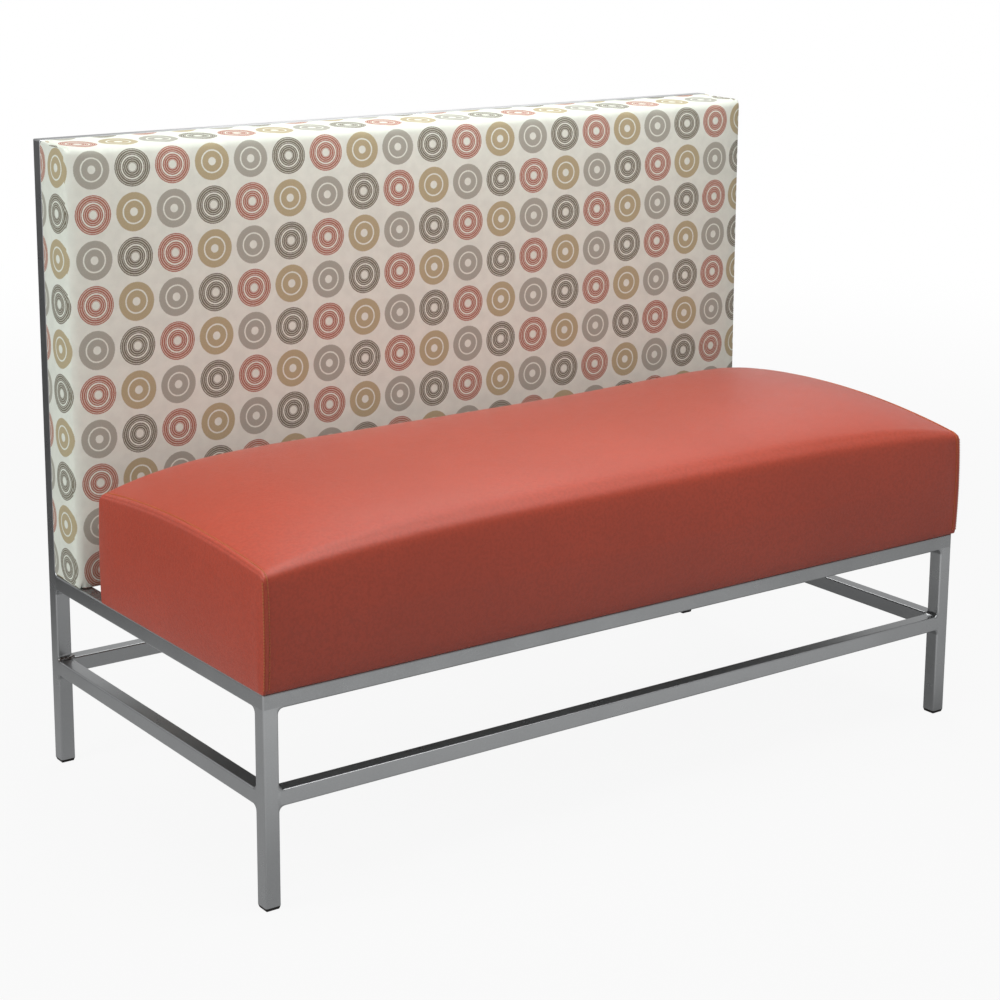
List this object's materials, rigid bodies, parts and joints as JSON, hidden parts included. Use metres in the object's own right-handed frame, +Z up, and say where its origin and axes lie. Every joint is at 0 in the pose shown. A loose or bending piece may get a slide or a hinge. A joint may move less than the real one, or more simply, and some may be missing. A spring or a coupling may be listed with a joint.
{
  "type": "restaurant booth bench",
  "caption": "Free-standing upholstered bench with a thick seat cushion, a tall flat back pad and a welded square-tube steel frame with low stretchers.",
  "frame": {"origin": "on the floor, under the middle of the bench's bounding box", "axes": "+X along the bench to the sitter's left, +Y from the seat's front to its back, +Z up"},
  "size_m": [1.2312, 0.6196, 0.9144],
  "materials": {
    "powder_coated_steel": "satin",
    "zinc_plated_steel": "satin",
    "glide_plastic": "matte",
    "plywood": "matte",
    "seat_vinyl": "satin",
    "back_fabric": "matte",
    "foam": "matte",
    "dust_cloth": "matte"
  },
  "bodies": {
    "root": {"rear_post_left": "powder_coated_steel", "rear_post_right": "powder_coated_steel", "back_top_rail": "powder_coated_steel", "seat_rail_front": "powder_coated_steel", "seat_rail_left": "powder_coated_steel", "seat_rail_right": "powder_coated_steel", "seat_rail_rear": "powder_coated_steel", "front_leg_left": "powder_coated_steel", "front_leg_right": "powder_coated_steel", "stretcher_front": "powder_coated_steel", "stretcher_rear": "powder_coated_steel", "stretcher_left": "powder_coated_steel", "stretcher_right": "powder_coated_steel", "seat_bearer_rear": "powder_coated_steel", "seat_bearer_middle": "powder_coated_steel", "weld_beads": "powder_coated_steel", "seat_mount_tabs": "powder_coated_steel", "back_mount_tabs": "powder_coated_steel", "glide_front_left": "glide_plastic", "glide_front_right": "glide_plastic", "glide_rear_left": "glide_plastic", "glide_rear_right": "glide_plastic", "seat_board": "plywood", "back_board": "plywood", "outer_back_board": "plywood", "seat_cover": "seat_vinyl", "back_cover": "back_fabric", "outer_back_cover": "back_fabric", "seat_foam": "foam", "back_foam": "foam", "seat_dust_cover": "dust_cloth", "seat_staples": "zinc_plated_steel", "back_staples": "zinc_plated_steel", "seat_tee_nuts": "zinc_plated_steel", "back_tee_nuts": "zinc_plated_steel", "seat_washers": "zinc_plated_steel", "seat_screws": "zinc_plated_steel", "back_cup_washers": "zinc_plated_steel", "back_screws": "zinc_plated_steel"}
  },
  "joints": []
}
